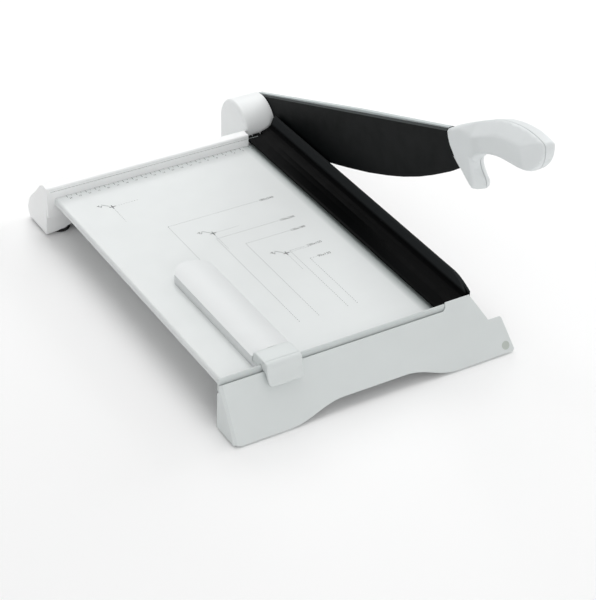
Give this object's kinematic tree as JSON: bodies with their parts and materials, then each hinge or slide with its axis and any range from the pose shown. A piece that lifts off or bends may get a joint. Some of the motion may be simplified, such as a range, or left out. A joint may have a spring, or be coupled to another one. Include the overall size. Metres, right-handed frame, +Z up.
{
  "type": "guillotine paper cutter",
  "caption": "Desktop guillotine paper cutter for A4 with a hinged knife arm, a pressing guard along the cut, a sliding backgauge and a low sheet-metal table.",
  "frame": {"origin": "on the floor, under the middle of the machine's bounding box with the arm as it stands at rest", "axes": "+X to the operator's right across the cut line, +Y along the cut towards the hinge, +Z up"},
  "size_m": [0.2886, 0.4746, 0.2405],
  "materials": {
    "painted_table": "powder-coated pale grey, satin, with printed format lines",
    "painted_stop": "powder-coated grey, satin",
    "galvanised_sheet": "zinc-plated sheet, dull",
    "grey_plastic": "injection-moulded, fine texture",
    "plug_plastic": "fine texture",
    "white_plastic": "injection-moulded, fine texture",
    "black_coating": "black powder coating, satin",
    "knife_coating": "black coating, ground steel at the edge",
    "blade_steel": "ground",
    "pivot_steel": "turned, oiled",
    "zinc_screws": "zinc-plated",
    "bushing_brass": "turned",
    "black_rubber": "matt"
  },
  "bodies": {
    "base": {"table_plate": "painted_table", "table_stiffener": "galvanised_sheet", "paper_stop": "painted_stop", "front_panel": "grey_plastic", "panel_plug": "plug_plastic", "stop_screws": "zinc_screws", "rear_housing": "white_plastic", "side_lay": "painted_stop", "side_lay_screws": "zinc_screws", "blade_bar": "black_coating", "lower_blade": "blade_steel", "lower_blade_screws": "zinc_screws", "bar_screws": "zinc_screws", "hinge_bracket": "black_coating", "pivot_bolt": "pivot_steel", "disc_springs": "zinc_screws", "pivot_nut": "zinc_screws", "hinge_cover": "white_plastic", "cover_screw": "zinc_screws", "rubber_feet": "black_rubber", "foot_screws": "zinc_screws", "arm_buffer": "black_rubber", "clamp_springs": "pivot_steel"},
    "clamp": {"clamp_guard": "black_coating", "clamp_pad": "black_rubber", "guide_pins": "pivot_steel", "pin_collars": "zinc_screws"},
    "arm": {"knife_arm": "black_coating", "upper_blade": "knife_coating", "blade_rivets": "zinc_screws", "arm_bushing": "bushing_brass", "handle_left": "grey_plastic", "handle_right": "grey_plastic", "handle_screws": "zinc_screws"},
    "backgauge": {"gauge_bar": "white_plastic", "gauge_head": "white_plastic", "gauge_screws": "zinc_screws", "lever_pin": "pivot_steel"},
    "lever": {"lock_lever": "white_plastic"}
  },
  "joints": [
    {"name": "arm_swing", "type": "hinge", "parent": "base", "child": "arm", "pos_m": [0.11525, 0.20925, 0.045], "axis": [-1, 0, 0], "range_deg": [-20.5, 27]},
    {"name": "clamp_lift", "type": "slide", "parent": "base", "child": "clamp", "axis": [0, 0, 1], "range_m": [-0.0034, 0.0046], "deforming": ["clamp_springs"]},
    {"name": "backgauge_slide", "type": "slide", "parent": "base", "child": "backgauge", "axis": [1, 0, 0], "range_m": [-0.04, 0.13]},
    {"name": "gauge_lock", "type": "hinge", "parent": "backgauge", "child": "lever", "pos_m": [-0.08375, -0.17595, 0.0546], "axis": [-1, 0, 0], "range_deg": [0, 25]}
  ],
  "couplings": [
    {"joint": "clamp_lift", "follows": "arm_swing", "m_per_rad": 0.0092}
  ]
}
